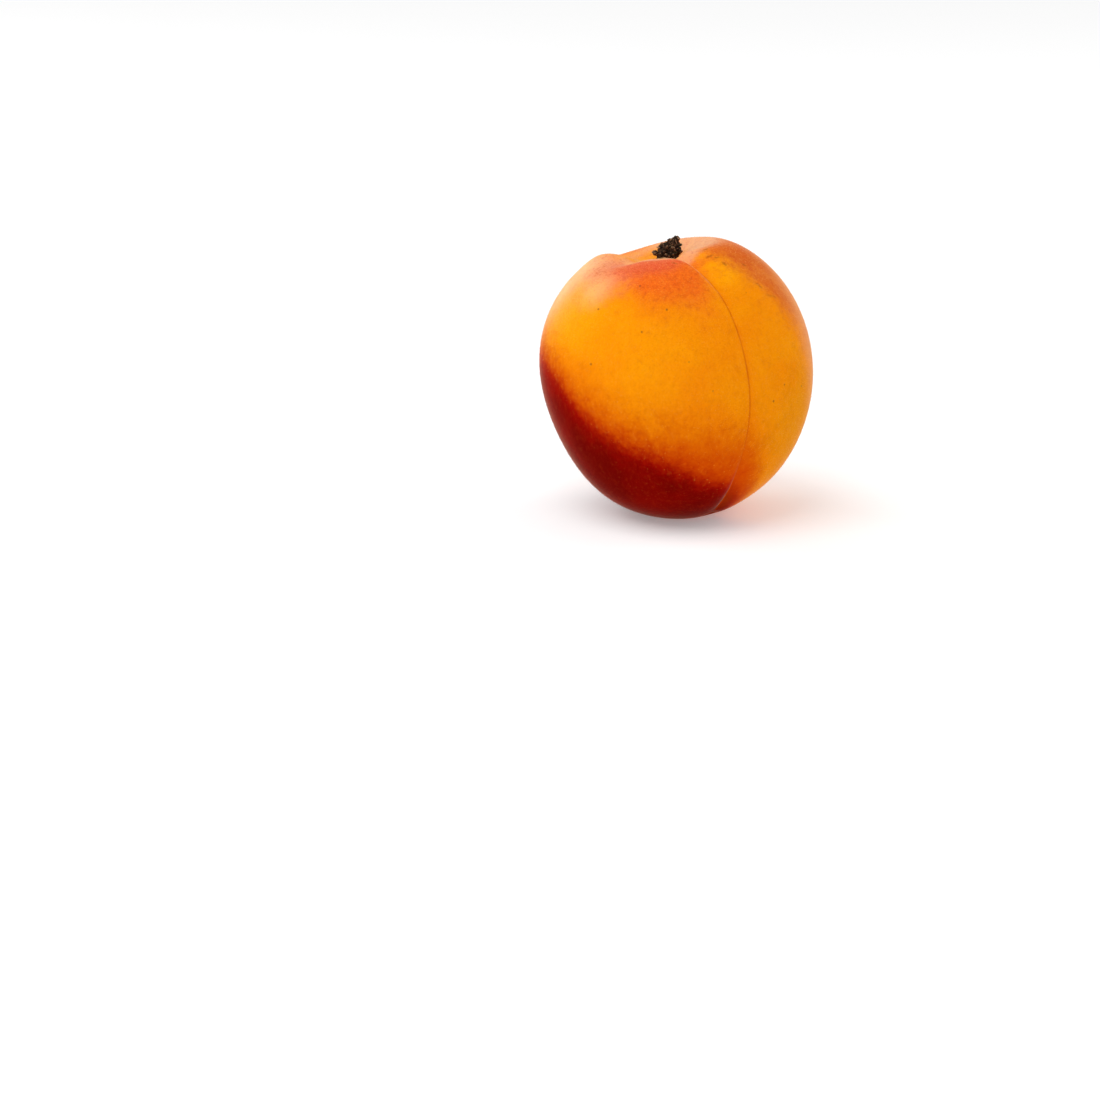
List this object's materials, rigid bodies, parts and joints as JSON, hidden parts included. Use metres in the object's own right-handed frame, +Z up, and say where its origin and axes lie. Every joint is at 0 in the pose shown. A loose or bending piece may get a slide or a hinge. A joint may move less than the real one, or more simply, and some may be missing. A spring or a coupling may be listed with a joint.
{
  "type": "apricot",
  "caption": "Whole ripe apricot, orange with a rosy blush and velvety skin, a suture groove down one side and a dry woody stem stub in the cavity at its top.",
  "frame": {"origin": "on the flat spot that the fruit rests on, under the middle of the whole", "axes": "+Z up, along the stem axis to within 3 degrees; -Y the front; the suture runs down the side that faces 33 degrees from -Y towards +X"},
  "size_m": [0.0504, 0.0504, 0.0514],
  "materials": {
    "skin": "velvety fruit skin: saturated yellow orange with a rosy blush, fine short pale down and small dark specks",
    "stem_wood": "dry, crumbly, near black bark with tan flecks"
  },
  "bodies": {
    "root": {"fruit": "skin", "stem": "stem_wood"}
  },
  "joints": []
}
